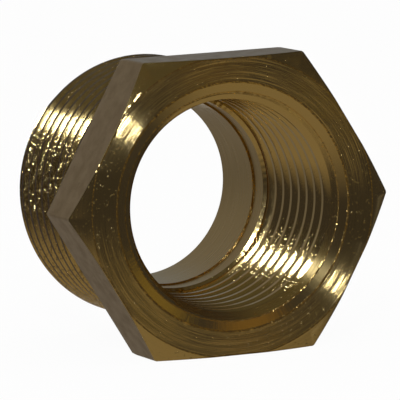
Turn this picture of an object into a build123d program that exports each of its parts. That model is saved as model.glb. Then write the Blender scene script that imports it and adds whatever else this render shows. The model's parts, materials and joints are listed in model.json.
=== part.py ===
from build123d import *
from math import radians, sqrt, tan
import os

# A brass reducing bushing for pipe, turned from hexagon bar, in millimetres.
# The bore's axis is Y. The mouth of the inside thread looks along -Y and the threaded stem points along +Y.
# The origin is on the axis, in the plane of the shoulder where the hexagon meets the stem.
# The hexagon has a flat below and one above, square to Z, and a corner at each end of X.

# Hexagon head
ACROSS_FLATS = 29.0
HEAD_THICKNESS = 7.1
CORNER_SETBACK = 1.15  # how far the turned chamfer reaches back along each corner
CORNER_CHAMFER_ANGLE = 30.0  # from the front face

# Pipe thread form
MM_PER_INCH = 25.4
THREADS_PER_INCH = 14
FLANK_HALF_ANGLE = 27.5
CREST_FLAT = 0.48  # left along the axis between two grooves

# Stem with the outside thread, for three-quarter inch pipe
STEM_LENGTH = 18.4
OUTSIDE_MAJOR_DIAMETER = 26.34
STEM_END_CHAMFER = 1.1  # cut at 45 degrees
OUTSIDE_FIRST_GROOVE = 1.43  # from the stem's end to the middle of the nearest groove
NECK_LENGTH = 2.0  # plain run-out beside the shoulder
NECK_UNDERCUT = 0.12  # radial, below the thread's root

# Bore, plain at the inside thread's crests, with depths from the front face
INSIDE_CREST_DIAMETER = 20.3
TAPPED_DEPTH = 14.85
WALL_STEP = 0.55  # radial, cut at 45 degrees where the thread runs out
DRILLED_DEPTH = 17.5
BORE_STEP = 0.18  # radial, cut at 45 degrees where the wider drill stopped

# Two-step countersink at the mouth
COUNTERSINK_WIDTH = 0.95  # radial, outwards from the inside crests
COUNTERSINK_HALF_ANGLE = 30.0  # from the axis
MOUTH_FACING_WIDTH = 1.0  # radial, the flatter outer ring
MOUTH_FACING_DEPTH = 0.3

# How far a cutting shape or a fused one runs past the face it works on
OVERRUN = 0.5

pitch = MM_PER_INCH / THREADS_PER_INCH
flank_slope = tan(radians(FLANK_HALF_ANGLE))
thread_height = (pitch - CREST_FLAT) / 2 / flank_slope

corner_radius = ACROSS_FLATS / sqrt(3)
front_face = -HEAD_THICKNESS
chamfer_slope = tan(radians(CORNER_CHAMFER_ANGLE))
face_circle_radius = corner_radius - CORNER_SETBACK / chamfer_slope

outside_crest = OUTSIDE_MAJOR_DIAMETER / 2
outside_root = outside_crest - thread_height
neck_radius = outside_root - NECK_UNDERCUT

inside_crest = INSIDE_CREST_DIAMETER / 2
wall_radius = inside_crest - WALL_STEP
through_bore_radius = wall_radius - BORE_STEP
countersink_radius = inside_crest + COUNTERSINK_WIDTH
mouth_radius = countersink_radius + MOUTH_FACING_WIDTH


def turned(*outline):
    """The solid that a closed outline of (radius, y) points sweeps about the bore's axis."""
    return revolve(make_face(Polyline(*outline, close=True)), Axis.Y)


def hexagon_head():
    """The hexagon with the front corners turned off by a cone."""
    bar = extrude(Plane.XZ * RegularPolygon(ACROSS_FLATS / 2, 6, major_radius=False), HEAD_THICKNESS)
    past_corners = corner_radius + OVERRUN
    cone = turned(
        (0, 0),
        (past_corners, 0),
        (past_corners, front_face + (past_corners - face_circle_radius) * chamfer_slope),
        (face_circle_radius, front_face),
        (0, front_face),
    )
    return bar & cone


def stem():
    """The stem before threading, chamfered at its end and sunk into the head."""
    return turned(
        (0, -OVERRUN),
        (outside_crest, -OVERRUN),
        (outside_crest, STEM_LENGTH - STEM_END_CHAMFER),
        (outside_crest - STEM_END_CHAMFER, STEM_LENGTH),
        (0, STEM_LENGTH),
    )


def bore():
    """The space inside: mouth facing, countersink, tapped length, plain wall and through bore."""
    countersink_end = MOUTH_FACING_DEPTH + COUNTERSINK_WIDTH / tan(radians(COUNTERSINK_HALF_ANGLE))
    return turned(
        (0, front_face - OVERRUN),
        (mouth_radius, front_face - OVERRUN),
        (mouth_radius, front_face),
        (countersink_radius, front_face + MOUTH_FACING_DEPTH),
        (inside_crest, front_face + countersink_end),
        (inside_crest, front_face + TAPPED_DEPTH),
        (wall_radius, front_face + TAPPED_DEPTH + WALL_STEP),
        (wall_radius, front_face + DRILLED_DEPTH),
        (through_bore_radius, front_face + DRILLED_DEPTH + BORE_STEP),
        (through_bore_radius, STEM_LENGTH + OVERRUN),
        (0, STEM_LENGTH + OVERRUN),
    )


def neck():
    """The run-out groove beside the shoulder, with a sloping side towards the thread."""
    outer = outside_crest + OVERRUN
    return turned(
        (neck_radius, 0),
        (neck_radius, NECK_LENGTH),
        (outer, NECK_LENGTH + (outer - neck_radius) * flank_slope),
        (outer, 0),
    )


def thread_groove(y):
    """One groove of the outside thread, its root at y, cut as a sharp vee."""
    reach = thread_height + OVERRUN
    half_mouth = reach * flank_slope
    return turned(
        (outside_root, y),
        (outside_root + reach, y - half_mouth),
        (outside_root + reach, y + half_mouth),
    )


def outside_thread():
    """The thread's grooves as rings one pitch apart, from the stem's end back to the neck."""
    last = STEM_LENGTH - OUTSIDE_FIRST_GROOVE
    count = int((last - NECK_LENGTH) / pitch) + 1
    return [thread_groove(last - turn * pitch) for turn in range(count)]


bushing = hexagon_head() + stem() - bore() - neck() - outside_thread()

os.makedirs("parts", exist_ok=True)
export_step(bushing, "parts/hex_bushing.step")
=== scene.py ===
"""The looks of a brass reducing hex bushing: real helical threads, tool marks, burrs and a small studio."""

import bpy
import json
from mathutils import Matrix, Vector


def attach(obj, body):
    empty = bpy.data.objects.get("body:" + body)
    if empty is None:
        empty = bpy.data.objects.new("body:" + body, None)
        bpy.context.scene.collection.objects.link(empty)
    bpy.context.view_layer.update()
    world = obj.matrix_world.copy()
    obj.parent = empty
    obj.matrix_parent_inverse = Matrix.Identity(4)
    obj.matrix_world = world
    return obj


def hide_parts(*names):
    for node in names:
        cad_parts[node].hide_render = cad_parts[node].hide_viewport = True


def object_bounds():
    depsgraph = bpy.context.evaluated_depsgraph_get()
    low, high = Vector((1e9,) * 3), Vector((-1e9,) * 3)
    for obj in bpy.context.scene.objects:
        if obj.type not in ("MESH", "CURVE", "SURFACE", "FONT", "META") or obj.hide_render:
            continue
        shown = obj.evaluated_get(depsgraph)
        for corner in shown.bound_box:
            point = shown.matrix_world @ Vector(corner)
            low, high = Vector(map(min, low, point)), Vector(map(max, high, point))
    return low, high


bl_info = {
    "name": "Brass Hex Bushing",
    "version": (1, 0, 0),
    "blender": (4, 5, 0),
    "location": "View3D > Sidebar > Bushing",
    "description": "Builds a turned brass reducing bushing over its packed solid, with a small studio",
    "category": "Add Mesh",
}

import json

import bmesh
import bpy
import numpy as np
from bpy.props import FloatProperty, FloatVectorProperty, IntProperty, PointerProperty
from mathutils import Matrix, Vector

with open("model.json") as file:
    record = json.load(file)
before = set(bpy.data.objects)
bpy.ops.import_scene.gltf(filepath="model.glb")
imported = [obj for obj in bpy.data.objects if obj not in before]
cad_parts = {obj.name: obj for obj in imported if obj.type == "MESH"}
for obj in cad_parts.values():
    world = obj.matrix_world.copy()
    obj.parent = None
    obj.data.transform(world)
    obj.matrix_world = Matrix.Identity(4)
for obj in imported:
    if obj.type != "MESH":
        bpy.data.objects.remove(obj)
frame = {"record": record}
cad_low, cad_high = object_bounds()

NODE = "hex_bushing"
BODY = "root"
MM = 0.001
TURN = 2 * np.pi
QUARTER = 0.25  # of a turn
FLANK = np.tan(np.radians(27.5))  # slope of both threads' flanks
CHAMFER_SLOPE = np.tan(np.radians(30))  # of the turned chamfer, from the front face

# Each finish is a place in the bushing's list of materials
FACE, CHAMFER, FLATS, STEM, TORN_SHADED, THREAD, BORE, MOUTH, BURR, COUNTERSINK = range(10)

# Burrs round the mouth, in millimetres
LIP_WIDTH = 0.14  # strip that a burr takes up on the face or the mouth ring
RISE_WIDTH = 0.08  # strip in which the mouth ring rises to the face
OVERHANG = 0.02  # how far a burr leans past its edge
BURR_ORDERS = (40, 190)  # burrs to a turn, from the broadest to the finest
BURR_SHARPNESS = 4
FACE_SEED = 3
MOUTH_SEED = 5

# Mesh
MERGE_DISTANCE = 0.001  # in millimetres
SHARP_ANGLE = np.radians(25)

# Materials
RADIUS_SHARE = 0.7
NICK_FACET = (-1.1, -2.6, 0.9)  # added to the surface's normal inside a nick
NICKS = (  # place and radius of each nick, in millimetres
    (-9.25, -7.1, 11.77, 0.20),
    (-9.42, -7.1, 11.55, 0.24),
    (-9.58, -7.1, 11.32, 0.22),
    (-9.80, -7.1, 11.09, 0.18),
    (-10.39, -7.1, 10.56, 0.14),
    (-10.83, -7.1, 9.92, 0.14),
    (-11.22, -7.1, 9.27, 0.14),
    (-11.73, -7.1, 8.35, 0.12),
    (-13.77, -7.1, 5.14, 0.14),
    (-14.11, -7.1, 4.59, 0.16),
    (-15.22, -7.1, 2.70, 0.20),
    (4.41, -7.1, 14.35, 0.30),
)

# Stage
FLOOR_HALF = 3.0  # in metres
ROOM_RINGS = 48
ROOM_SECTORS = 96
ROOM_OPENING = np.radians(10)
PAPER_GLOW = 0.96  # of full white, so that the soft shadow shows
WORLD_LIGHT = 0.6
SENSOR_WIDTH = 36.0  # in millimetres
CLIP_RANGE = (0.01, 20.0)  # in metres


def mount_radius(name):
    """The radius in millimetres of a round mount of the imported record."""
    return next(m["dims"]["r_mm"] for m in frame["record"]["mounts"] if m["name"] == name)


def linear(code):
    """An sRGB hex colour as three linear values."""
    parts = np.array([int(code[i:i + 2], 16) for i in (1, 3, 5)]) / 255
    return tuple(np.where(parts <= 0.04045, parts / 12.92, ((parts + 0.055) / 1.055) ** 2.4))


def size(name, description, default):
    """A size in millimetres that the panel shows."""
    description += ", in millimetres"
    return FloatProperty(name=name, description=description, default=default, precision=3)


def degrees(name, description, default):
    """An angle in degrees that the panel shows."""
    description += ", in degrees"
    return FloatProperty(name=name, description=description, default=default, precision=3)


def tint(name, description, code):
    """A colour that the panel shows, from its sRGB hex code."""
    settings = {"subtype": "COLOR", "min": 0, "max": 1}
    return FloatVectorProperty(name=name, description=description, default=linear(code), **settings)


class BushingSizes(bpy.types.PropertyGroup):
    """Sizes of the turned section."""

    across_flats: size("Across flats", "Width of the hexagon over its flats", (cad_high.z - cad_low.z) / MM)
    head: size("Head thickness", "Hexagon's length along the axis", -cad_low.y / MM)
    stem: size("Stem length", "Shoulder to the stem's end", cad_high.y / MM)
    corner_setback: size("Corner setback", "How far the turned chamfer reaches back along each corner", 1.15)
    corner_wear: size("Corner wear", "Radial wear of the hexagon's long corners", 0.06)
    worn_edge: size("Worn edge", "Width of the sparkling worn line round the front face", 0.12)
    edge_break: size("Edge break", "Tiny bevel on each machined edge", 0.05)
    pitch: size("Pitch", "Distance between two turns of either thread", 25.4 / 14)
    outside_crest: size("Outside crest radius", "Radius over the outside thread", mount_radius("male_thread"))
    outside_height: size("Outside thread height", "Crest to root", 1.2)
    outside_crest_flat: size("Outside crest flat", "Width left between two outside grooves", 0.48)
    outside_groove: size("Outside groove place", "Stem's end to the nearest groove, at the left", 1.43)
    end_chamfer: size("Stem end chamfer", "Cut at 45 degrees", 1.1)
    neck: size("Neck length", "Plain run-out beside the shoulder", 2.0)
    neck_radius: size("Neck radius", "Radius of the plain run-out", 11.77)
    inside_crest: size("Inside crest radius", "Mean over all turns", mount_radius("female_thread"))
    inside_taper: size("Inside taper", "Crest radius lost from the mouth to the last turn", 0.45)
    inside_height: size("Inside thread height", "Crest to flat root", 0.75)
    inside_crest_flat: size("Inside crest flat", "Width left between two inside grooves", 0.49)
    inside_groove: size("Inside groove place", "From the front face to the first groove, at the right", 1.28)
    inside_end: size("Inside thread end", "Depth at which the last groove has run out", 15.4)
    teeth: size("Chatter teeth", "Height of the teeth that the tool left where the thread runs out", 0.05)
    through_bore: size("Through bore radius", "Radius of the plain bore", mount_radius("through_bore"))
    bore_step: size("Bore step", "Radial, cut at 45 degrees where the wider drill stopped", 0.18)
    drill_depth: size("Wider drill's depth", "From the front face", 17.5)
    countersink: size("Countersink radius", "Where the countersink meets the mouth ring", 11.1)
    mouth: size("Mouth radius", "Outer edge of the mouth ring", 12.1)
    mouth_depth: size("Mouth ring depth", "How far the mouth ring slopes in", 0.3)
    burr: size("Burr height", "Tallest burr along the rings of the mouth", 0.09)
    columns: IntProperty(name="Columns", description="Round the axis, a multiple of six", default=384)


class BrassColours(bpy.types.PropertyGroup):
    """Colours of the metal; the dark and the golden brass also carry painted shade and painted light."""

    bright: tint("Freshly cut brass", "Free-machining brass as the tool leaves it", "#E7CF90")
    drawn: tint("Drawn brass", "Skin of the cold drawn hexagon bar, a little duller", "#DCC79A")
    # Partly painted light: burrs and worn edges get a deeper gold than the cut brass, standing in for light
    # bouncing between their facets.
    gold_with_painted_bounce: tint("Golden brass", "Burrs and worn edges, which shine a little deeper", "#E3C278")
    # Partly painted shade: this dark brass darkens torn crests and pits where little light gets; on the flats
    # it is a real stain.
    stains_and_painted_shade: tint("Torn brass", "Torn crests, pits and stains, where little light gets", "#8A7040")


class StageSettings(bpy.types.PropertyGroup):
    """Camera, lamp and the painted reflections: a glowing room that shows only in the brass."""

    azimuth: degrees("Azimuth", "Camera's place round the bushing", -22.055)
    elevation: degrees("Elevation", "Camera's height over the axis", 6.834)
    roll: degrees("Roll", "Camera's turn about its own axis", -2.299)
    distance: size("Distance", "Camera to the middle of the shoulder", 523.17)
    lens: FloatProperty(name="Lens", description="Focal length on a 36 mm sensor", default=480.55)
    slide_right: size("Slide right", "Camera's slide to the left", 0.575)
    slide_up: size("Slide up", "Camera's slide downwards", 0.007)
    paper: tint("Floor", "Pale paper that the bushing stands on", "#F4F3F0")
    # Painted reflections: the colours below glow on a sphere that only glossy rays see, so they show only in
    # the brass; no real walls, table or daylight light the scene.
    dark: tint("Dark room", "Front and sides of the dim room", "#393534")
    ceiling_reflection: tint("Ceiling", "Soft patch above the bushing", "#544E3E")
    back: tint("Back wall", "Behind the bushing", "#736E6C")
    daylight_reflection: tint("Daylight", "Cool patch low on the back wall", "#7B818B")
    table_reflection: tint("Table", "Patch of table in front of the bushing", "#82755F")
    warm_reflection: tint("Warm wall", "Warm patch to the right of the camera", "#82703C")
    ember_reflection: tint("Golden wall", "Golden patch between the camera and the warm wall", "#826634")
    lamp_azimuth: degrees("Lamp azimuth", "From the front to the right", -25.1)
    lamp_elevation: degrees("Lamp elevation", "Over the axis", 27.8)
    lamp_distance: size("Lamp distance", "From the middle of the shoulder", 550.0)
    lamp_power: FloatProperty(name="Lamp power", description="Watts of the key lamp", default=0.9, min=0)
    lamp_width: size("Lamp width", "Diameter of the round key lamp", 86.0)


# The turned surface: a grid of rows along the section and columns round the axis


def column_angles(count, half_wear):
    """Angles of the grid's columns, one whole turn in radians.

    Each sixth starts in the middle of a worn hexagon corner, then takes the end of its wear,
    then goes on in even steps to the wear of the next corner.
    """
    sixth = TURN / 6
    inner = np.linspace(half_wear, sixth - half_wear, count // 6 - 1)
    return np.concatenate([k * sixth + np.append(0.0, inner) for k in range(6)])


def hexagon_radius(angles, across_flats):
    """Distance from the axis to the hexagon.

    It is half the width over the flats, divided by the cosine of the angle from the flat's middle.
    """
    return across_flats / 2 / np.cos(np.mod(angles, TURN / 6) - TURN / 12)


def ripple(angles, lowest, highest, seed, sharpness=1.0):
    """An uneven wave round the axis, from 0 to 1.

    It is a sum of cosines of every whole order from lowest to highest, each with its own phase,
    scaled to its range and raised to a power that leaves only the tallest peaks.
    """
    orders = np.arange(lowest, highest)
    phases = np.random.default_rng(seed).uniform(0, TURN, len(orders))
    wave = np.cos(np.outer(angles, orders) + phases).sum(axis=1)
    return ((wave - wave.min()) / np.ptp(wave)) ** sharpness


def thread_form(pitch, crest_flat, height, edge_break):
    """Offsets from a groove's middle and the groove's depth there, over one pitch.

    From the middle out: flat root, straight flank, a small bevel at the crest's edge, flat crest.
    """
    mouth = (pitch - crest_flat) / 2
    root = mouth - height * FLANK
    bevel = edge_break / 2
    offsets = np.array([0, root, (root + mouth) / 2, mouth - bevel, mouth + bevel, pitch / 2])
    depths = np.array([height, height, height / 2, bevel / FLANK, 0, 0])
    return np.append(-offsets[:0:-1], offsets), np.append(depths[:0:-1], depths)


def groove(along, angles, start, pitch, form):
    """Depth of a right-hand helical groove at each place.

    The groove's middle is at start for angle zero and comes back by one pitch for each whole turn of angle.
    """
    offset = np.mod(along - start + pitch * angles / TURN + pitch / 2, pitch) - pitch / 2
    return np.interp(offset, *form)


def helical_rows(low, high, angles, start, pitch, form):
    """Rows of a threaded stretch.

    They are given as places along the axis, which of the rows start a crest, and how many rows make a turn.
    Each row follows the helix, so that crests and roots lie on grid lines, and is held between low and high.
    Rows that have left the stretch lie on its end circle, where they are merged later.
    """
    offsets, depths = form[0][:-1], form[1][:-1]
    turns = np.arange(np.floor((low - start) / pitch) - 1, np.ceil((high - start) / pitch) + 2)
    places = (start + pitch * turns[:, None] + offsets).ravel()
    on_crest = np.tile((depths == 0) & (np.roll(depths, -1) == 0), len(turns))
    kept = (places > low - pitch) & (places < high + 2 * pitch)
    along = np.clip(places[kept, None] - pitch * angles / TURN, low, high)
    return along, on_crest[kept, None], len(offsets)


def meet(along, first, second):
    """Moves rows onto the line where two surfaces cross, so that their common edge is clean.

    Where the difference of the two radii changes sign between two rows, the nearer one moves to the zero
    of a straight line between them.
    """
    gap = first(along) - second(along)
    cross = gap[:-1] * gap[1:] < 0
    share = np.where(cross, gap[:-1] / np.where(cross, gap[:-1] - gap[1:], 1), 0)
    zero = along[:-1] + share * (along[1:] - along[:-1])
    moved = along.copy()
    moved[:-1] = np.where(cross & (share < 0.5), zero, moved[:-1])
    moved[1:] = np.where(cross & (share >= 0.5), zero, moved[1:])
    return moved


def runs(points, counts, angles):
    """Rows along straight runs between outline points, without the last point.

    A point is (radius, along), and either may differ from column to column.
    """
    corners = np.array([[np.broadcast_to(value, len(angles)) for value in point] for point in points])
    shares = [np.linspace(0, 1, count, endpoint=False)[:, None, None] for count in counts]
    rows = np.concatenate([a + share * (b - a) for share, a, b in zip(shares, corners, corners[1:])])
    return rows[:, 0], rows[:, 1]


def head_rows(s, angles):
    """Front face with its burr and its worn edge, turned corner chamfers, flats and shoulder.

    Each row is an outline of the hexagon or a circle.
    """
    front, bevel = -s.head, s.edge_break
    corner = s.across_flats / np.sqrt(3)
    face_circle = corner - s.corner_setback / CHAMFER_SLOPE
    side = np.minimum(hexagon_radius(angles, s.across_flats), corner - s.corner_wear)
    cone = lambda radius: front + np.maximum(radius - face_circle, 0) * CHAMFER_SLOPE
    rim = np.minimum(face_circle, side - bevel)
    burr = s.burr * ripple(angles, *BURR_ORDERS, FACE_SEED, BURR_SHARPNESS)
    edge = runs([(s.mouth + OVERHANG, front - burr), (s.mouth + LIP_WIDTH, front)], [1], angles)
    face = runs([(s.mouth + LIP_WIDTH, front), (rim - s.worn_edge, front)], [7], angles)
    worn = runs([(rim - s.worn_edge, front), (rim, front)], [1], angles)
    chamfer = runs([(rim, front), (side - bevel, cone(side - bevel))], [4], angles)
    flats = runs([(side, cone(side) + bevel), (side, -bevel)], [8], angles)
    shoulder = runs([(side - bevel, 0), (s.neck_radius, 0)], [5], angles)
    return [
        (*edge, BURR, 0),
        (*face, FACE, 0),
        (*worn, BURR, 0),
        (*chamfer, CHAMFER, 0),
        (*flats, FLATS, 0),
        (*shoulder, FACE, 0),
    ]


def stem_rows(s, angles):
    """Neck, outside thread and end chamfer.

    The radius is the least of three: the threaded cylinder, the chamfer's cone and the neck's sloping side.
    """
    form = thread_form(s.pitch, s.outside_crest_flat, s.outside_height, s.edge_break)
    start = s.stem - s.outside_groove + s.pitch / 2
    high = s.stem - s.edge_break
    thread = lambda along: s.outside_crest - groove(along, angles, start, s.pitch, form)
    chamfer = lambda along: s.outside_crest - s.end_chamfer + s.stem - along
    neck = lambda along: s.neck_radius + (along - s.neck) / FLANK
    along, crest, turn = helical_rows(s.neck, high, angles, start, s.pitch, form)
    along = meet(meet(along, thread, chamfer), thread, neck)
    radius = np.minimum(np.minimum(thread(along), chamfer(along)), neck(along))
    plain = runs([(s.neck_radius, 0), (s.neck_radius, s.neck)], [3], angles)
    return [(*plain, STEM, 0), (radius, along, np.where(crest, TORN_SHADED, STEM), -turn)]


def bore_rows(s, angles, end_radius):
    """Stem's end face, through bore, small step where the wider drill stopped and the wall before it."""
    drill_end = s.drill_depth - s.head
    end = runs([(end_radius - s.edge_break, s.stem), (s.through_bore + s.edge_break, s.stem)], [4], angles)
    wall = s.through_bore + s.bore_step
    bore = runs([
        (s.through_bore + s.edge_break, s.stem),
        (s.through_bore, s.stem - s.edge_break),
        (s.through_bore, drill_end + s.bore_step),
    ], [1, 6], angles)
    step = runs([(s.through_bore, drill_end + s.bore_step), (wall, drill_end)], [1], angles)
    recess = runs([(wall, drill_end), (wall, s.inside_end - s.head)], [3], angles)
    return [(*end, FACE, 0), (*bore, BORE, 0), (*step, BURR, 0), (*recess, BORE, 0)]


def inside_rows(s, angles):
    """Run-out of the inside thread, its turns and the countersink.

    The crests lie on a slight cone. The radius is held under the run-out, which is as steep as a flank and
    ends in small teeth, one to four columns, and above the countersink's 45 degree cone, out of which the
    first turn grows.
    """
    form = thread_form(s.pitch, s.inside_crest_flat, s.inside_height, s.edge_break)
    start = s.inside_groove - s.head
    low, high = s.mouth_depth - s.head, s.inside_end - s.head

    def thread(along):
        crest = s.inside_crest + s.inside_taper * (0.5 - (along - low) / (high - low))
        return crest + groove(along, angles, start, s.pitch, form)

    chatter = s.teeth * np.cos(angles * s.columns / 4)
    run_out = lambda along: s.through_bore + s.bore_step + (high - along) * (1 + chatter) / FLANK
    cone = lambda along: s.countersink - (along - low)
    along, _, turn = helical_rows(low, high, angles, start, s.pitch, form)
    along = meet(meet(along, thread, cone), thread, run_out)
    threaded, cut = np.minimum(thread(along), run_out(along)), cone(along)
    finish = np.where(np.roll(cut > threaded, 1, axis=0), COUNTERSINK, THREAD)
    return [(np.maximum(threaded, cut)[::-1], along[::-1], finish[::-1], turn)]


def mouth_rows(s, angles):
    """Mouth ring between its two uneven burr lines."""
    slope = s.mouth_depth / (s.mouth - s.countersink)
    ring = lambda radius: (s.mouth - radius) * slope - s.head
    burr = s.burr * ripple(angles, *BURR_ORDERS, MOUTH_SEED, BURR_SHARPNESS)
    inner, outer = s.countersink + LIP_WIDTH, s.mouth - RISE_WIDTH
    lip = runs([(s.countersink + OVERHANG, ring(s.countersink) - burr), (inner, ring(inner))], [1], angles)
    face = runs([(inner, ring(inner)), (outer, ring(outer))], [4], angles)
    rise = runs([(outer, ring(outer)), (s.mouth + OVERHANG, -s.head)], [1], angles)
    return [(*lip, BURR, 0), (*face, MOUTH, 0), (*rise, BURR, 0)]


def grid_faces(blocks, columns):
    """Corners of the grid's quads, rows by columns by four, facing outwards.

    A quad joins a column to the next and a row to the next. Where the last column meets the first,
    a helical block steps by the rows of one turn, held to its own rows.
    """
    seam, first = [], 0
    for radius, _, _, turn in blocks:
        rows = np.arange(first, first + len(radius))
        seam.append(np.clip(rows + turn, first, first + len(radius) - 1))
        first += len(radius)
    here = np.arange(first)[:, None] * columns + np.arange(columns)
    beside = np.roll(here, -1, axis=1)
    beside[:, -1] = np.concatenate(seam) * columns
    return np.stack([here, np.roll(here, -1, axis=0), np.roll(beside, -1, axis=0), beside], axis=2)


def bushing_mesh(s):
    """The whole bushing as one closed mesh, in metres, with a map of its tool marks and its finishes.

    A point is (radius cos angle, along, radius sin angle). The map's first coordinate runs round the axis
    and its second along the section.
    """
    corner = s.across_flats / np.sqrt(3)
    worn = TURN / 12 - np.arccos(s.across_flats / 2 / (corner - s.corner_wear))
    angles = column_angles(s.columns, worn)
    blocks = head_rows(s, angles) + stem_rows(s, angles)
    blocks += bore_rows(s, angles, blocks[-1][0][-1]) + inside_rows(s, angles) + mouth_rows(s, angles)
    radius, along = (np.concatenate([block[k] for block in blocks]) for k in (0, 1))
    finish = np.concatenate([np.broadcast_to(block[2], block[0].shape) for block in blocks]).ravel()
    points = np.stack([radius * np.cos(angles), along, radius * np.sin(angles)], axis=2) * MM
    faces = grid_faces(blocks, len(angles)).reshape(-1, 4)

    outwards = np.diff(radius[:, 0], prepend=radius[0, 0])
    section = np.cumsum(np.hypot(outwards, np.diff(along[:, 0], prepend=0)))
    round_map = np.append(angles, TURN) / TURN
    cell_column = np.tile(np.arange(len(angles)), len(radius))
    cell_row = np.repeat(np.arange(len(radius)), len(angles))
    next_row = np.append(section, section[-1] + 1)[cell_row + 1]
    left, right = round_map[cell_column], round_map[cell_column + 1]
    across = np.stack([left, left, right, right], axis=1)
    down = np.stack([section[cell_row], next_row, next_row, section[cell_row]], axis=1) / section[-1]

    mesh = bpy.data.meshes.new("turned_bushing")
    mesh.from_pydata(points.reshape(-1, 3).tolist(), [], faces.tolist())
    mesh.polygons.foreach_set("material_index", finish)
    mesh.uv_layers.new(name="turned").uv.foreach_set("vector", np.stack([across, down], axis=2).ravel())
    shape = bmesh.new()
    shape.from_mesh(mesh)
    bmesh.ops.remove_doubles(shape, verts=shape.verts, dist=MERGE_DISTANCE * MM)
    shape.to_mesh(mesh)
    shape.free()
    mesh.shade_smooth()
    mesh.set_sharp_from_angle(angle=SHARP_ANGLE)
    return mesh


# Materials


def add(tree, kind, inputs=None, **settings):
    """Adds a node with its settings, and sets or links its inputs by name or number."""
    node = tree.nodes.new(kind)
    for name, value in settings.items():
        setattr(node, name, value)
    for name, value in (inputs or {}).items():
        if isinstance(value, bpy.types.NodeSocket):
            tree.links.new(value, node.inputs[name])
        else:
            node.inputs[name].default_value = value
    return node


def number(tree, operation, *values):
    """A sum, product or the like of plain values."""
    return add(tree, "ShaderNodeMath", dict(enumerate(values)), operation=operation).outputs[0]


def vector(tree, operation, *values):
    """A sum, product or the like of vectors. Operations that measure a vector give a plain value."""
    node = add(tree, "ShaderNodeVectorMath", dict(enumerate(values)), operation=operation)
    return node.outputs["Value" if operation in ("LENGTH", "DISTANCE", "DOT_PRODUCT") else "Vector"]


def scaled(tree, value, factor):
    """A vector times a plain factor."""
    return add(tree, "ShaderNodeVectorMath", {0: value, "Scale": factor}, operation="SCALE").outputs["Vector"]


def blend(tree, share, first, second):
    """A colour that turns from the first into the second as the share goes from 0 to 1."""
    return add(tree, "ShaderNodeMix", {0: share, 6: first, 7: second}, data_type="RGBA").outputs[2]


def metal(name, **constants):
    """A new metal with its tree and shader. Constants are set on the shader's own sockets."""
    made = bpy.data.materials.new(name)
    made.use_nodes = True
    tree = made.node_tree
    shader = tree.nodes["Principled BSDF"]
    shader.inputs["Metallic"].default_value = 1.0
    for socket, value in constants.items():
        shader.inputs[socket.replace("_", " ")].default_value = value
    return made, tree, shader


def millimetres(tree):
    """Object coordinates in millimetres."""
    return scaled(tree, add(tree, "ShaderNodeTexCoord").outputs["Object"], 1 / MM)


def place(tree):
    """Coordinates in millimetres, the direction from the axis and the place along the turned section.

    The place along the section is the place along the axis plus a share of the radius, so that it changes
    on faces, flanks and walls alike.
    """
    where = millimetres(tree)
    flat = vector(tree, "MULTIPLY", where, (1, 0, 1))
    along = add(tree, "ShaderNodeSeparateXYZ", {0: where}).outputs["Y"]
    section = number(tree, "MULTIPLY_ADD", vector(tree, "LENGTH", flat), RADIUS_SHARE, along)
    return where, vector(tree, "NORMALIZE", flat), section


def grains(tree, where, grain, detail=2.0):
    """Even noise with its grain in millimetres."""
    inputs = {"Vector": where, "Scale": 1 / grain, "Detail": detail}
    return add(tree, "ShaderNodeTexNoise", inputs).outputs["Fac"]


def tool_marks(tree, around, section, spacing, arc):
    """Uneven rings round the axis, with their spacing in millimetres.

    Arc is how often a ring changes on its way round.
    """
    rings = number(tree, "MULTIPLY", section, 1 / spacing)
    rings = add(tree, "ShaderNodeCombineXYZ", {"Y": rings}).outputs[0]
    turned = vector(tree, "MULTIPLY_ADD", around, (arc,) * 3, rings)
    return grains(tree, turned, 1.0)


def spread(tree, value, low, high, to_low, to_high):
    """Maps a value from one range to another, and holds it there."""
    inputs = {"Value": value, "From Min": low, "From Max": high, "To Min": to_low, "To Max": to_high}
    return add(tree, "ShaderNodeMapRange", inputs).outputs["Result"]


def bump(tree, height, depth, normal=None):
    """A bump of that depth in millimetres, on top of another."""
    inputs = {"Height": height, "Distance": depth * MM, "Strength": 1.0}
    if normal:
        inputs["Normal"] = normal
    return add(tree, "ShaderNodeBump", inputs).outputs["Normal"]


def lean(tree, around, slope):
    """Surface normal leaned away from the axis by a slope."""
    normal = add(tree, "ShaderNodeNewGeometry").outputs["Normal"]
    return vector(tree, "NORMALIZE", vector(tree, "ADD", scaled(tree, around, slope), normal))


def nicked(tree, where, normal):
    """The normal with sparse torn specks and small nicks along the hexagon's front edges.

    Specks stand where a coarser noise is high. A nick is a facet that faces the upper left front, where
    a lamp glints on it.
    """
    specks = spread(tree, grains(tree, where, 0.25), 0.67, 0.74, 0, 0.5)
    torn = number(tree, "MULTIPLY", grains(tree, where, 0.2), specks)
    inside = 0.0
    for x, y, z, radius in NICKS:
        away = vector(tree, "DISTANCE", where, (x, y, z))
        inside = number(tree, "MAXIMUM", spread(tree, away, 0.6 * radius, radius, 1, 0), inside)
    facet = vector(tree, "ADD", scaled(tree, NICK_FACET, inside), bump(tree, torn, 0.12, normal))
    return vector(tree, "NORMALIZE", facet)


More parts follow.
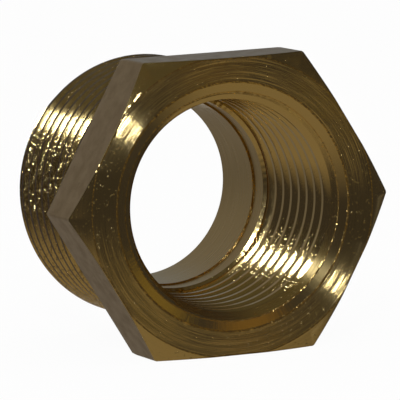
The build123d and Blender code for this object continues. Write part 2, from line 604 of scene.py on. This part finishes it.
def torn_scales(tree, where, around, normal, tilt, colours):
    """Colour and normal of a flank with small torn scales: some are tilted and spark, others are pits painted
    dark as shade.

    They start under the lamp's reflection and fade out a little below the axis. Each scale draws its tilt
    and its kind from its own random colour. Real ones are finer still, but they would vanish in a picture.
    """
    height = add(tree, "ShaderNodeSeparateXYZ", {0: around}).outputs["Z"]
    below_lamp = spread(tree, height, 0.58, 0.3, 0.02, 1)
    share = number(tree, "MULTIPLY", below_lamp, spread(tree, height, -0.3, 0, 0, 1))
    scale = add(tree, "ShaderNodeTexVoronoi", {"Vector": where, "Scale": 1 / 0.06}).outputs["Color"]
    kind = add(tree, "ShaderNodeSeparateXYZ", {0: scale}).outputs["X"]
    # Painted shade: pits blend toward the dark brass, only in the band under the lamp's reflection.
    pit_shade = number(tree, "MULTIPLY", spread(tree, kind, 0.5, 0.45, 0, 0.8), share)
    tilt = number(tree, "MULTIPLY", share, spread(tree, kind, 0.78, 0.83, 0, tilt))
    facing = scaled(tree, vector(tree, "ADD", scale, (-0.5,) * 3), tilt)
    normal = vector(tree, "NORMALIZE", vector(tree, "ADD", facing, normal))
    return blend(tree, pit_shade, (*colours.bright, 1), (*colours.stains_and_painted_shade, 1)), normal


def round_tangent(tree):
    """Direction of the tool marks, for a shine that is drawn out across them."""
    return add(tree, "ShaderNodeTangent", direction_type="UV_MAP", uv_map="turned").outputs[0]


def turned_face(colours, name, rough, steepest):
    """Faced brass: fine rings that lie like shingles and draw a lamp out into a bright fan across the face.

    Most rings lie nearly flat, some lean outwards by up to the steepest slope, and some lean inwards.
    Rings 0.02 mm apart blur into a brushed shine, and coarser ones among them stay visible.
    """
    made, tree, shader = metal(name, Anisotropic=1.0, Anisotropic_Rotation=QUARTER)
    where, around, section = place(tree)
    coarse = tool_marks(tree, around, section, 0.25, 2.0)
    rings = number(tree, "MULTIPLY_ADD", coarse, 0.15, tool_marks(tree, around, section, 0.02, 2.5))
    outwards = spread(tree, rings, 0.64, 0.7, 0.06 * steepest, steepest)
    inwards = spread(tree, rings, 0.46, 0.52, -steepest, 0)
    shingles = lean(tree, around, number(tree, "ADD", outwards, inwards))
    shader.inputs["Base Color"].default_value = (*colours.bright, 1)
    tree.links.new(spread(tree, coarse, 0.3, 0.7, 0.85 * rough, 1.15 * rough), shader.inputs["Roughness"])
    tree.links.new(nicked(tree, where, bump(tree, coarse, 0.01, shingles)), shader.inputs["Normal"])
    tree.links.new(round_tangent(tree), shader.inputs["Tangent"])
    return made


def mouth_ring(colours):
    """Ring faced round the mouth: a smooth shine, with short ridges where the tool chattered.

    The ridges are a noise that changes much faster round the axis than across the ring, and they keep to
    the lower left.
    """
    made, tree, shader = metal("chattered brass", Anisotropic=0.9, Anisotropic_Rotation=QUARTER)
    _, around, section = place(tree)
    chattered = spread(tree, vector(tree, "DOT_PRODUCT", around, (-0.6, 0, -0.8)), -0.2, 0.5, 0, 1)
    ridges = number(tree, "MULTIPLY", tool_marks(tree, around, section, 2.0, 42.0), chattered)
    shader.inputs["Base Color"].default_value = (*colours.bright, 1)
    tree.links.new(spread(tree, chattered, 0, 1, 0.16, 0.2), shader.inputs["Roughness"])
    tree.links.new(bump(tree, ridges, 0.008), shader.inputs["Normal"])
    tree.links.new(round_tangent(tree), shader.inputs["Tangent"])
    return made


def drawn_flats(colours):
    """Cold drawn bar: satin skin, a little stained, with faint lines along the bar."""
    made, tree, shader = metal("drawn brass")
    where = millimetres(tree)
    lines = grains(tree, vector(tree, "MULTIPLY", where, (1, 0.08, 1)), 0.35)
    mottle = grains(tree, where, 1.2, 4.0)
    stained = spread(tree, mottle, 0.35, 0.65, 0, 0.22)
    colour = blend(tree, stained, (*colours.drawn, 1), (*colours.stains_and_painted_shade, 1))
    tree.links.new(colour, shader.inputs["Base Color"])
    tree.links.new(spread(tree, mottle, 0.3, 0.7, 0.3, 0.4), shader.inputs["Roughness"])
    skin = bump(tree, lines, 0.004, bump(tree, mottle, 0.02))
    tree.links.new(nicked(tree, where, skin), shader.inputs["Normal"])
    return made


def cut_thread(colours, name, rough, drawn_out, ring_depth, torn, ragged=0):
    """Flanks of a thread: nearly a mirror, with rings and torn specks of these depths in millimetres.

    Drawn out is how much a shine spreads across the rings, and ragged is the steepest tilt of torn scales.
    """
    made, tree, shader = metal(name, Anisotropic=drawn_out, Anisotropic_Rotation=QUARTER)
    where, around, section = place(tree)
    rings = tool_marks(tree, around, section, 0.15, 8.0)
    specks = spread(tree, grains(tree, where, 0.2), 0.6, 0.68, 0, 1)
    normal = bump(tree, specks, torn, bump(tree, rings, ring_depth))
    shader.inputs["Base Color"].default_value = (*colours.bright, 1)
    if ragged:
        colour, normal = torn_scales(tree, where, around, normal, ragged, colours)
        tree.links.new(colour, shader.inputs["Base Color"])
    tree.links.new(spread(tree, rings, 0.3, 0.7, 0.7 * rough, 1.3 * rough), shader.inputs["Roughness"])
    tree.links.new(normal, shader.inputs["Normal"])
    tree.links.new(round_tangent(tree), shader.inputs["Tangent"])
    return made


def torn_edge(colour, name, grain, depth):
    """Torn crest or burr: rough scales turned every way, which catch the lamp as single sparks. The colour is
    painted light: painted shade on the crests, a painted deeper gold on the burrs.
    """
    made, tree, shader = metal(name, Roughness=0.22)
    shader.inputs["Base Color"].default_value = (*colour, 1)
    tree.links.new(bump(tree, grains(tree, millimetres(tree), grain), depth), shader.inputs["Normal"])
    return made


def drilled_bore(colours):
    """Smooth bore: soft rings that mirror the far wall."""
    made, tree, shader = metal("drilled brass", Anisotropic=0.5, Anisotropic_Rotation=QUARTER)
    _, around, section = place(tree)
    rings = tool_marks(tree, around, section, 0.25, 2.0)
    shader.inputs["Base Color"].default_value = (*colours.bright, 1)
    tree.links.new(spread(tree, rings, 0.3, 0.7, 0.26, 0.34), shader.inputs["Roughness"])
    tree.links.new(bump(tree, rings, 0.003), shader.inputs["Normal"])
    tree.links.new(round_tangent(tree), shader.inputs["Tangent"])
    return made


def finishes(colours):
    """The bushing's materials, in the order of their places."""
    return (
        turned_face(colours, "faced brass", rough=0.2, steepest=0.54),
        turned_face(colours, "chamfered brass", rough=0.22, steepest=0.1),
        drawn_flats(colours),
        cut_thread(colours, "cut brass thread", 0.17, drawn_out=1.0, ring_depth=0.005, torn=0.05, ragged=0.8),
        # Painted shade: the crests get the dark brass so that they read dark.
        torn_edge(colours.stains_and_painted_shade, "torn brass crests", grain=0.2, depth=0.3),
        cut_thread(colours, "tapped brass thread", 0.13, drawn_out=0.8, ring_depth=0.001, torn=0.003),
        drilled_bore(colours),
        mouth_ring(colours),
        torn_edge(colours.gold_with_painted_bounce, "brass burrs", grain=0.3, depth=0.1),
        turned_face(colours, "countersunk brass", rough=0.22, steepest=0.1),
    )


# Stage


def white_to_camera(tree, plain, share):
    """A plain shader mixed with white that camera, glossy and transmission rays see."""
    path = add(tree, "ShaderNodeLightPath").outputs
    seen = number(tree, "MAXIMUM", path["Is Camera Ray"], path["Is Glossy Ray"])
    seen = number(tree, "MAXIMUM", seen, path["Is Transmission Ray"])
    seen = number(tree, "MULTIPLY", seen, share)
    white = add(tree, "ShaderNodeEmission", {"Color": (1, 1, 1, 1), "Strength": 1.0}).outputs[0]
    return add(tree, "ShaderNodeMixShader", {0: seen, 1: plain, 2: white}).outputs[0]


def bare_material(name):
    """A new material with an empty tree."""
    made = bpy.data.materials.new(name)
    made.use_nodes = True
    made.node_tree.nodes.clear()
    return made, made.node_tree


def pale_paper(stage):
    """Pale paper, white to the camera, that keeps a soft shadow."""
    made, tree = bare_material("pale paper")
    plain = add(tree, "ShaderNodeBsdfDiffuse", {"Color": (*stage.paper, 1)}).outputs[0]
    add(tree, "ShaderNodeOutputMaterial", {"Surface": white_to_camera(tree, plain, PAPER_GLOW)})
    return made


def toward(azimuth, elevation):
    """Unit vector to a place round the bushing, in degrees. Azimuth runs from the front to the right."""
    a, e = np.radians([azimuth, elevation])
    return np.array([np.sin(a) * np.cos(e), -np.cos(a) * np.cos(e), np.sin(e)])


def painted_reflection_walls(stage):
    """Painted reflections as a plain glow: dark, with round patches of other colours that show only in the
    brass.

    A patch has its colour, azimuth, elevation, radius and the width of its soft edge, in degrees.
    """
    patches = (
        (stage.ceiling_reflection, -40, 62, 36, 24),
        (stage.back, 180, 22, 45, 50),
        (stage.back, -175, -24, 18, 16),
        (stage.daylight_reflection, 160, 8, 14, 12),
        (stage.table_reflection, -10, -60, 46, 16),
        (stage.table_reflection, 76, -54, 18, 8),
        (stage.ember_reflection, 20, 25, 9, 8),
        (stage.warm_reflection, 46, 11, 9, 8),
    )
    made, tree = bare_material("dim room")
    made.cycles.emission_sampling = "NONE"
    where = add(tree, "ShaderNodeTexCoord").outputs["Object"]
    room = (*stage.dark, 1)
    for colour, azimuth, elevation, radius, soft in patches:
        near = vector(tree, "DOT_PRODUCT", where, tuple(toward(azimuth, elevation)))
        outer, inner = np.cos(np.radians([radius + soft / 2, radius - soft / 2]))
        room = blend(tree, spread(tree, near, outer, inner, 0, 1), room, (*colour, 1))
    glow = add(tree, "ShaderNodeEmission", {"Color": room, "Strength": 1.0}).outputs[0]
    add(tree, "ShaderNodeOutputMaterial", {"Surface": glow})
    return made


def camera_axes(stage):
    """Unit vectors to the camera, to its right and upwards, from its azimuth, elevation and roll."""
    a, r = np.radians([stage.azimuth, stage.roll])
    back = toward(stage.azimuth, stage.elevation)
    right = np.array([np.cos(a), np.sin(a), 0.0])
    up = np.cross(back, right)
    return back, np.cos(r) * right + np.sin(r) * up, np.cos(r) * up - np.sin(r) * right


def put(name, data):
    """A new object in the scene."""
    made = bpy.data.objects.new(name, data)
    bpy.context.scene.collection.objects.link(made)
    return made


def floor_plane(stage):
    """A square of paper under the bushing, kept out of the brass's reflections."""
    corners = [(x * FLOOR_HALF, y * FLOOR_HALF, cad_low.z) for x, y in ((-1, -1), (1, -1), (1, 1), (-1, 1))]
    mesh = bpy.data.meshes.new("floor")
    mesh.from_pydata(corners, [], [(0, 1, 2, 3)])
    floor = put("floor", mesh)
    floor.data.materials.append(pale_paper(stage))
    floor.visible_glossy = False
    return floor


def dim_room(stage):
    """A glowing sphere of one metre radius that only glossy rays see, with the painted reflections inside.

    It is open straight behind the bushing, where the brass mirrors the white background.
    """
    polar = np.linspace(0, np.pi, ROOM_RINGS + 1)[:, None]
    azimuth = np.linspace(0, TURN, ROOM_SECTORS + 1)
    height = np.cos(polar) * np.ones_like(azimuth)
    points = np.stack([np.sin(polar) * np.cos(azimuth), np.sin(polar) * np.sin(azimuth), height], axis=2)
    width = ROOM_SECTORS + 1
    here = np.arange(ROOM_RINGS)[:, None] * width + np.arange(ROOM_SECTORS)
    faces = np.stack([here, here + width, here + width + 1, here + 1], axis=2)
    open_back = points[:-1, :-1] @ camera_axes(stage)[0] < -np.cos(ROOM_OPENING)
    mesh = bpy.data.meshes.new("dim_room")
    mesh.from_pydata(points.reshape(-1, 3).tolist(), [], faces[~open_back].tolist())
    room = put("dim_room", mesh)
    room.data.materials.append(painted_reflection_walls(stage))
    for ray in ("camera", "diffuse", "transmission", "shadow", "volume_scatter"):
        setattr(room, "visible_" + ray, False)
    return room


def key_lamp(stage):
    """A round lamp to the upper left of the camera, which faces the bushing."""
    data = bpy.data.lights.new("key_lamp", "AREA")
    data.shape = "DISK"
    data.size = stage.lamp_width * MM
    data.energy = stage.lamp_power
    lamp = put("key_lamp", data)
    direction = Vector(toward(stage.lamp_azimuth, stage.lamp_elevation))
    lamp.location = direction * stage.lamp_distance * MM
    lamp.rotation_mode = "QUATERNION"
    lamp.rotation_quaternion = direction.to_track_quat("Z", "Y")


def studio_world():
    """Plain white light from all round, full white to the camera."""
    world = bpy.data.worlds.new("studio")
    world.use_nodes = True
    world.cycles.sampling_method = "NONE"
    tree = world.node_tree
    tree.nodes.clear()
    soft = add(tree, "ShaderNodeBackground", {"Color": (1, 1, 1, 1), "Strength": WORLD_LIGHT}).outputs[0]
    add(tree, "ShaderNodeOutputWorld", {"Surface": white_to_camera(tree, soft, 1.0)})
    return world


def photo_camera(stage):
    """The camera at the photograph's viewing angle, with its slides across the picture."""
    data = bpy.data.cameras.new("camera")
    data.lens = stage.lens
    data.sensor_width = SENSOR_WIDTH
    data.clip_start, data.clip_end = CLIP_RANGE
    camera = put("camera", data)
    back, right, up = camera_axes(stage)
    at = (stage.distance * back - stage.slide_right * right - stage.slide_up * up) * MM
    camera.matrix_world = Matrix([*np.column_stack([right, up, back, at]).tolist(), [0, 0, 0, 1]])
    return camera


class BUSHING_OT_turned(bpy.types.Operator):
    """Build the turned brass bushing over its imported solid"""

    bl_idname = "bushing.turned"
    bl_label = "Turned Bushing"

    def execute(self, context):
        bushing = put("turned_bushing", bushing_mesh(context.scene.bushing_sizes))
        for made in finishes(context.scene.brass_colours):
            bushing.data.materials.append(made)
        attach(bushing, BODY)
        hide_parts(NODE)
        return {"FINISHED"}


class BUSHING_OT_stage(bpy.types.Operator):
    """Set up the floor, the painted reflection room, the lamp and the camera"""

    bl_idname = "bushing.stage"
    bl_label = "Studio"

    def execute(self, context):
        stage = context.scene.bushing_stage
        floor, room = floor_plane(stage), dim_room(stage)
        key_lamp(stage)
        context.scene.world = studio_world()
        context.scene.camera = photo_camera(stage)
        context.scene.view_settings.view_transform = "Standard"
        return {"FINISHED"}


class BUSHING_PT_panel(bpy.types.Panel):
    """Lists the sizes, colours and operators"""

    bl_idname = "BUSHING_PT_panel"
    bl_label = "Hex Bushing"
    bl_space_type = "VIEW_3D"
    bl_region_type = "UI"
    bl_category = "Bushing"

    def draw(self, context):
        for group in (context.scene.bushing_sizes, context.scene.brass_colours, context.scene.bushing_stage):
            box = self.layout.box()
            for name in group.__annotations__:
                box.prop(group, name)
        for operator in OPERATORS:
            self.layout.operator(operator.bl_idname)


OPERATORS = (BUSHING_OT_turned, BUSHING_OT_stage)
GROUPS = {"bushing_sizes": BushingSizes, "brass_colours": BrassColours, "bushing_stage": StageSettings}


def register():
    for kind in (*GROUPS.values(), *OPERATORS, BUSHING_PT_panel):
        bpy.utils.register_class(kind)
    for name, group in GROUPS.items():
        setattr(bpy.types.Scene, name, PointerProperty(type=group))


def unregister():
    for name in GROUPS:
        delattr(bpy.types.Scene, name)
    for kind in (BUSHING_PT_panel, *OPERATORS, *GROUPS.values()):
        bpy.utils.unregister_class(kind)


def main():
    """Registers the add-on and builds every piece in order."""
    register()
    bpy.ops.bushing.turned()
    bpy.ops.bushing.stage()


if __name__ == "__main__":
    main()
